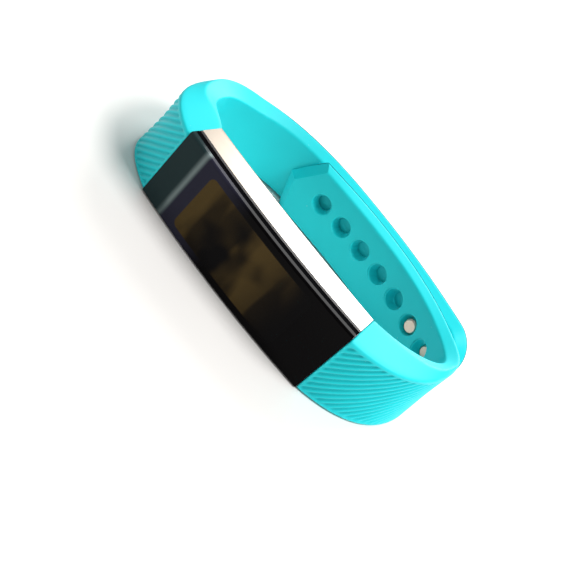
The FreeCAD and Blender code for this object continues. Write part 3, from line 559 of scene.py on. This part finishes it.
peg_tools = [grown("plate_seat", "clasp_plate", PLATE_FIT)]
for points in islands("clasp_pegs"):
    corner_mm = (points - np.array(CORNER)) / MM
    low_end = corner_mm[corner_mm[:, 1] < corner_mm[:, 1].mean()]
    high_end = corner_mm[corner_mm[:, 1] >= corner_mm[:, 1].mean()]
    axis = high_end.mean(0) - low_end.mean(0)
    axis /= np.linalg.norm(axis)
    middle = corner_mm.mean(0)
    radius = PEG_RADIUS + PEG_FIT
    start = tuple(middle - axis * PEG_BORE / 2)
    peg_tools.append(turned("peg_bore", start, tuple(axis), [(0, radius), (PEG_BORE, radius)]))
    print("peg at", np.round(middle, 2), "axis", np.round(axis, 3))
cut(clasp_skin, peg_tools)

# %% [markdown]
# The gasket shows as a fine dark line between the trim and the case. A hair's breadth of rubber
# stands out of the joint all round, so the line keeps a clean edge.

# %% Let the gasket stand out of its joint
GASKET_PROUD, GASKET_RIM = 0.13, 0.3
gasket_skin = bpy.data.objects.new("gasket_line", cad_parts["case_gasket"].data.copy())
bpy.context.scene.collection.objects.link(gasket_skin)
low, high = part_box("case_gasket")
middle, half = (low + high) / 2, (high - low) / 2
for vertex in gasket_skin.data.vertices:
    for axis in (0, 2):
        if abs(vertex.co[axis] - middle[axis]) > half[axis] - GASKET_RIM * MM:
            vertex.co[axis] += math.copysign(GASKET_PROUD * MM, vertex.co[axis] - middle[axis])
print("gasket vertices", len(gasket_skin.data.vertices))

# %% [markdown]
# The skins are soft shapes with round corners already in them, so they are shaded smooth. Only the
# edges that were cut, such as the latch wells and the point of the tail, stay crisp.

# %% Shade the straps and hide the solids they replace
SHARP_ANGLE, CUT_FACE_CORNERS = 52, 60
for skin in (hole_skin, clasp_skin):
    for face in skin.data.polygons:
        face.use_smooth = True
    skin.data.set_sharp_from_angle(angle=math.radians(SHARP_ANGLE))
    skin.data.materials.clear()
work = bmesh.new()
work.from_mesh(hole_skin.data)
for face in work.faces:
    if len(face.verts) > CUT_FACE_CORNERS and (face.calc_center_median() - tip).length < TIP_ZONE * MM:
        for edge in face.edges:
            edge.smooth = False
work.to_mesh(hole_skin.data)
work.free()
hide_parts("case_gasket")
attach(gasket_skin, "tracker")
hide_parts("hole_strap_root", "hole_strap_tail")
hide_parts("clasp_strap_root", "clasp_strap_end")

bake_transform(hole_skin)
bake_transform(clasp_skin)
print("straps replace their four solids")

# %% [markdown]
# # Finishes
# A finish is a small network of nodes. To read it as sums, one class wraps a socket and turns
# + - * / into Math nodes, and one method makes any other node from its type, settings and values.


# %% Nodes written as sums
class Amount:
    """A socket that can be added, taken away, multiplied and divided."""

    def __init__(self, bench, socket):
        self.bench = bench
        self.socket = socket

    def work(self, operation, first, second):
        return self.bench.make("ShaderNodeMath", {"operation": operation}, {0: first, 1: second})

    def __add__(self, other):
        return self.work("ADD", self, other)

    def __radd__(self, other):
        return self.work("ADD", other, self)

    def __sub__(self, other):
        return self.work("SUBTRACT", self, other)

    def __rsub__(self, other):
        return self.work("SUBTRACT", other, self)

    def __mul__(self, other):
        return self.work("MULTIPLY", self, other)

    def __rmul__(self, other):
        return self.work("MULTIPLY", other, self)

    def __truediv__(self, other):
        return self.work("DIVIDE", self, other)


class Finish:
    """A material, with a bench on which its nodes are made."""

    def __init__(self, name, **constants):
        self.material = bpy.data.materials.new(name)
        self.material.use_nodes = True
        self.tree = self.material.node_tree
        self.shader = self.tree.nodes["Principled BSDF"]
        for socket, value in constants.items():
            self.shader.inputs[socket.replace("_", " ")].default_value = value

    def make(self, kind, settings, values, out=0):
        node = self.tree.nodes.new(kind)
        for key, value in settings.items():
            if key == "stops":
                while len(node.color_ramp.elements) < len(value):
                    node.color_ramp.elements.new(0.5)
                for element, (place, colour) in zip(node.color_ramp.elements, value):
                    element.position = place
                    element.color = colour
            else:
                setattr(node, key, value)
        for key, value in values.items():
            if isinstance(value, Amount):
                self.tree.links.new(value.socket, node.inputs[key])
            else:
                node.inputs[key].default_value = value
        return Amount(self, node.outputs[out])

    def feed(self, **links):
        for socket, value in links.items():
            self.tree.links.new(value.socket, self.shader.inputs[socket.replace("_", " ")])

    def place(self):
        return self.make("ShaderNodeTexCoord", {}, {}, "Object")

    def parts(self, vector):
        node = self.tree.nodes.new("ShaderNodeSeparateXYZ")
        self.tree.links.new(vector.socket, node.inputs[0])
        return [Amount(self, node.outputs[i]) for i in range(3)]

    def grain(self, scale, detail=4.0, stretch=(1, 1, 1)):
        """Noise from 0 to 1, with about this many lumps to a metre."""
        where = self.make("ShaderNodeMapping", {}, {"Vector": self.place(), "Scale": stretch})
        return self.make("ShaderNodeTexNoise", {}, {"Vector": where, "Scale": scale, "Detail": detail}, "Fac")

    def blend(self, share, first, second):
        """One colour turning into another."""
        return self.make("ShaderNodeMix", {"data_type": "RGBA"}, {0: share, 6: first, 7: second}, 2)

    def step(self, value, low, high):
        """0 below low, 1 above high, smooth between."""
        return self.make("ShaderNodeMapRange", {"interpolation_type": "SMOOTHSTEP"},
                         {0: value, 1: low, 2: high, 3: 0.0, 4: 1.0})

    def relief(self, height, strength, distance):
        return self.make("ShaderNodeBump", {}, {"Strength": strength, "Distance": distance, "Height": height})


def linear(red, green, blue):
    """A colour read from a screen, 0 to 255, as the linear values that a shader uses."""
    channels = []
    for value in (red, green, blue):
        value /= 255
        channels.append(value / 12.92 if value <= 0.04045 else ((value + 0.055) / 1.055) ** 2.4)
    return (*channels, 1.0)


print("turquoise in linear light", [round(c, 3) for c in linear(60, 205, 212)])

# %% [markdown]
# Silicone is smooth and slightly waxy: light goes a little way in, so shadows are soft and coloured.
# Its skin has a faint unevenness from the mould and a few specks of lint, which rubber always picks up.
# The colour is darkened in the grooves and in the holes as painted shade, taken from an occlusion node.

# %% Turquoise silicone
silicone = Finish("turquoise_silicone", Subsurface_Weight=0.06, Subsurface_Scale=0.0012,
                  Subsurface_Radius=(0.35, 1.0, 1.0), Sheen_Weight=0.03, Specular_IOR_Level=0.28)
cloud = silicone.grain(90.0, 3.0)
fine = silicone.grain(5200.0, 2.0)
lint = silicone.step(silicone.grain(1500.0, 1.0), 0.80, 0.815)
tone = silicone.blend(cloud, linear(18, 212, 220), linear(26, 221, 228))
# Painted shade: an occlusion node, looking only at this strap, darkens grooves and holes to deep teal.
PAINTED_SHADE_REACH = 0.0011
occlusion_for_painted_shade = silicone.make("ShaderNodeAmbientOcclusion", {"only_local": True, "samples": 8},
                         {"Distance": PAINTED_SHADE_REACH}, "AO")
tone = silicone.blend(silicone.step(occlusion_for_painted_shade, 0.35, 0.95), linear(4, 128, 140), tone)
silicone.feed(Base_Color=silicone.blend(lint * 0.25, tone, linear(215, 246, 246)),
              Roughness=0.44 + cloud * 0.1,
              Normal=silicone.relief(fine * 0.7 + cloud * 0.3, 0.10, 0.00006))
for skin in (hole_skin, clasp_skin):
    skin.data.materials.append(silicone.material)
print("silicone on both straps")

# %% [markdown]
# The display lies under dark glass. It is off, but it can just be made out as a window with round
# corners inside a black border. Its place comes from the panel behind the glass. The brown patches and
# bars on the window, the purple-grey band and greenish-grey end at the left, and the pale streak near
# the left end are painted reflections.

# %% Dark glass with a hidden display
panel_low, panel_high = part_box("display_panel")
panel_mid = [(panel_low[axis] + panel_high[axis]) / 2 for axis in (0, 2)]
panel_half = [(panel_high[axis] - panel_low[axis]) / 2 for axis in (0, 2)]
WINDOW_CORNER = 0.0012
glass = Finish("dark_glass", IOR=1.5, Specular_IOR_Level=0.05)
x, y, z = glass.parts(glass.place())


def size_of(value):
    return glass.make("ShaderNodeMath", {"operation": "ABSOLUTE"}, {0: value})


def above_zero(value):
    return glass.make("ShaderNodeMath", {"operation": "MAXIMUM"}, {0: value, 1: 0.0})


far_x = above_zero(size_of(x - panel_mid[0]) - (panel_half[0] - WINDOW_CORNER))
far_z = above_zero(size_of(z - panel_mid[1]) - (panel_half[1] - WINDOW_CORNER))
reach = glass.make("ShaderNodeMath", {"operation": "SQRT"}, {0: far_x * far_x + far_z * far_z})
window = 1 - glass.step(reach, WINDOW_CORNER - 0.00015, WINDOW_CORNER + 0.0001)
# Painted reflections: brown patches crossed by darker bars on the window, fading out to the right.
painted_reflection_bars = glass.step(glass.grain(190.0, 1.5, (1.0, 1.0, 0.22)), 0.43, 0.56)
painted_reflection_patches = glass.step(glass.grain(95.0, 2.0), 0.32, 0.52)
to_right = 1 - glass.step(x, panel_mid[0] + 0.001, panel_mid[0] + 0.0125)
window_with_painted_reflections = glass.blend((0.25 + painted_reflection_bars * 0.75) * painted_reflection_patches * to_right, linear(6, 5, 6), linear(76, 61, 32))
# Painted reflections at the left end: a purple-grey band, a greenish-grey end and a pale streak.
painted_reflection_left = 1 - glass.step(x, panel_low[0] + 0.001, panel_low[0] + 0.010)
border_and_painted_reflections = glass.blend(painted_reflection_left, linear(4, 3, 4), linear(40, 40, 54))
painted_reflection_end = 1 - glass.step(x, panel_low[0] - 0.0032, panel_low[0] - 0.0022)
border_and_painted_reflections = glass.blend(painted_reflection_end, border_and_painted_reflections, linear(34, 50, 52))
painted_reflection_streak = glass.step(x, panel_low[0] - 0.0041, panel_low[0] - 0.0029)
border_and_painted_reflections = glass.blend(painted_reflection_end * painted_reflection_streak * (0.3 + 0.7 * painted_reflection_patches), border_and_painted_reflections, linear(118, 132, 132))
glass.feed(Base_Color=glass.blend(window, border_and_painted_reflections, window_with_painted_reflections),
           Roughness=0.05 + glass.grain(260.0, 5.0) * 0.05)
print("window half size, mm", [round(v / MM, 2) for v in panel_half])

# %% [markdown]
# The case is satin steel, brushed along its length: long fine scratches in the roughness and a slight
# relief. The frame, the trim line and the gasket are narrow, so each only needs its own gloss.

# %% Metal, plastic and rubber
steel = Finish("satin_steel", Metallic=1.0)
brush = steel.grain(2600.0, 3.0, (0.03, 1.0, 1.0))
smear = steel.grain(70.0, 3.0)
steel_x = steel.parts(steel.place())[0]
# Painted light: the case turns from a warmer, darker steel at the left end to a paler one at the right.
warm_left_painted_light = steel.blend(smear, linear(158, 147, 134), linear(168, 158, 146))
pale = steel.blend(smear, linear(190, 186, 180), linear(202, 198, 192))
steel.feed(Base_Color=steel.blend(steel.step(steel_x, -0.018, 0.012), warm_left_painted_light, pale),
           Roughness=0.2 + brush * 0.16 + smear * 0.06,
           Normal=steel.relief(brush, 0.08, 0.00002))


def simple(name, dark, light, rough, scale, bump=0.05, **constants):
    """A finish with a slight change of tone and gloss and a fine relief."""
    finish = Finish(name, **constants)
    grain = finish.grain(scale, 4.0)
    finish.feed(Base_Color=finish.blend(grain, linear(*dark), linear(*light)),
                Roughness=rough + grain * 0.12,
                Normal=finish.relief(grain, bump, 0.00003))
    return finish


black_gloss = simple("black_gloss_frame", (7, 7, 9), (15, 15, 17), 0.4, 700.0, Specular_IOR_Level=0.0)
trim = simple("dark_trim_line", (34, 33, 33), (48, 46, 45), 0.3, 900.0, Metallic=1.0)
gasket = simple("gasket_rubber", (14, 13, 13), (26, 25, 25), 0.5, 1500.0)
peg_metal = simple("peg_metal", (206, 186, 172), (222, 204, 190), 0.3, 900.0, Metallic=1.0)
latch_metal = simple("latch_metal", (150, 150, 152), (178, 178, 180), 0.28, 1200.0, Metallic=1.0)
panel = simple("display_panel", (22, 22, 26), (32, 32, 36), 0.2, 400.0)
inner_plastic = simple("inner_plastic", (30, 30, 32), (42, 42, 44), 0.5, 1600.0)
circuit = simple("circuit_board", (10, 66, 38), (18, 84, 50), 0.35, 1200.0)
chip = simple("chip_case", (20, 20, 22), (32, 32, 34), 0.42, 2000.0)
film = simple("flex_film", (150, 92, 28), (176, 112, 40), 0.3, 1100.0)
foil = simple("battery_foil", (172, 175, 180), (196, 198, 202), 0.3, 600.0, Metallic=1.0)
gold = simple("contact_gold", (214, 168, 84), (232, 190, 108), 0.2, 1500.0, Metallic=1.0)

finishes = {
    "front_glass": glass, "front_bezel": black_gloss, "trim_ring": trim, "case_gasket": gasket,
    "case_shell": steel, "display_panel": panel, "inner_chassis": inner_plastic,
    "main_board": circuit, "display_ribbon": film, "processor_chip": chip, "radio_chip": chip,
    "motion_sensor": chip, "battery": foil, "radio_antenna": film, "motor_can": latch_metal,
    "motor_shaft": latch_metal, "motor_weight": latch_metal, "contact_block": inner_plastic,
    "charging_contacts": gold, "clasp_plate": peg_metal, "clasp_pegs": peg_metal,
    "left_connector": latch_metal, "right_connector": latch_metal,
    "left_latch_button": latch_metal, "right_latch_button": latch_metal,
    "left_latch_spring": latch_metal, "right_latch_spring": latch_metal,
    "hole_strap_root": silicone, "hole_strap_tail": silicone,
    "clasp_strap_root": silicone, "clasp_strap_end": silicone,
}
for node, finish in finishes.items():
    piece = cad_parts[node]
    if not piece.material_slots:
        piece.data.materials.append(finish.material)
    for place in piece.material_slots:
        place.material = finish.material
gasket_skin.data.materials.clear()
gasket_skin.data.materials.append(gasket.material)
print("finished nodes", len(finishes), "of", len(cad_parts))

# %% [markdown]
# # The studio
# The band stands on a wide, plain, pale floor. A soft light above and to the right makes the top edges
# bright and leaves the left front of the strap in a gentle shade, and a larger one behind the band
# fills the inside of the loop.

# %% Floor and soft light
FLOOR_REACH, FLOOR_GAP = 1.6, 0.0001
scene = bpy.context.scene
work = bmesh.new()
bmesh.ops.create_grid(work, x_segments=2, y_segments=2, size=FLOOR_REACH)
floor_mesh = bpy.data.meshes.new("floor")
work.to_mesh(floor_mesh)
work.free()
floor = bpy.data.objects.new("floor", floor_mesh)
floor.location = (0, 0, cad_box[0][2] - FLOOR_GAP)
scene.collection.objects.link(floor)
paper = simple("pale_paper", (240, 238, 235), (245, 243, 240), 0.7, 40.0)
floor_mesh.materials.append(paper.material)


def soft_light(name, place, target, size, power, colour=(1, 1, 1)):
    lamp = bpy.data.lights.new(name, "AREA")
    lamp.shape = "DISK"
    lamp.size = size
    lamp.energy = power
    lamp.color = colour
    piece = bpy.data.objects.new(name, lamp)
    piece.location = place
    piece.rotation_euler = (Vector(target) - Vector(place)).to_track_quat("-Z", "Y").to_euler()
    scene.collection.objects.link(piece)
    return piece


soft_light("key_light", (0.24, 0.02, 0.42), (0, 0, 0), 0.24, 2.1)
soft_light("back_light", (0.02, 0.46, 0.30), (0, 0, 0.008), 0.42, 2.6)
world = bpy.data.worlds.new("soft_white")
world.use_nodes = True
world.node_tree.nodes["Background"].inputs["Color"].default_value = (1.0, 0.99, 0.98, 1)
world.node_tree.nodes["Background"].inputs["Strength"].default_value = 0.42
scene.world = world
scene.view_settings.view_transform = "Standard"

# %% [markdown]
# The camera looks down at the band from the front, tipped on its side, from about a hand's length
# away. Its place is measured from the tracker's corner, as every other size here is.

# %% Camera
CAMERA_MM = (29.6819, -135.6137, 100.8829)
CAMERA_TURN = (1.92054454, 1.01870979, 0.388915377)
SENSOR_WIDTH, FOCAL_SHARE = 36.0, 1000 / 580
camera_data = bpy.data.cameras.new("camera")
camera_data.sensor_width = SENSOR_WIDTH
camera_data.lens = FOCAL_SHARE * SENSOR_WIDTH
camera_data.clip_start = 0.01
camera = bpy.data.objects.new("camera", camera_data)
camera.location = placed([CAMERA_MM])[0]
turn_axis = Vector(CAMERA_TURN)
seen = Matrix.Rotation(turn_axis.length, 3, turn_axis.normalized())
camera.rotation_euler = Matrix((seen[0], -seen[1], -seen[2])).transposed().to_euler()
scene.collection.objects.link(camera)
scene.camera = camera
print("camera at", [round(v, 4) for v in camera.location])
